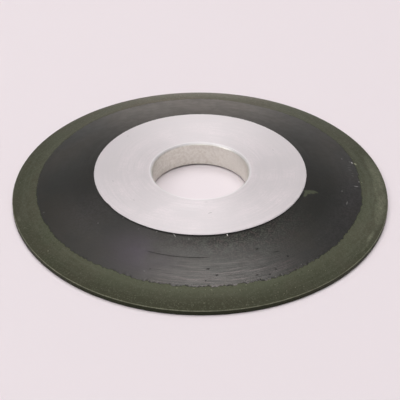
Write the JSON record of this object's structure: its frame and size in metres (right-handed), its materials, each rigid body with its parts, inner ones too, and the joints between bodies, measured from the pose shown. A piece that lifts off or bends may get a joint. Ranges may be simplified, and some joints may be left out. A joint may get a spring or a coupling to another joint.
{
  "type": "diamond dish grinding wheel",
  "caption": "Thin-edged round grinding wheel with a flat back, an aluminium hub ring round the arbor bore, a black tapered body and a green abrasive ring at the rim.",
  "frame": {"origin": "on the arbor axis, in the plane of the flat back face", "axes": "+Z along the arbor axis, out of the front face; the wheel is round, so X and Y are any two directions across it"},
  "size_m": [0.125, 0.125, 0.009],
  "materials": {
    "turned_aluminium": "fine turned, satin",
    "black_phenolic": "moulded and skimmed, semi-matt",
    "green_abrasive": "resin bond with fine grit, matt"
  },
  "bodies": {
    "root": {"hub_ring": "turned_aluminium", "moulded_body": "black_phenolic", "abrasive_ring": "green_abrasive"}
  },
  "joints": []
}
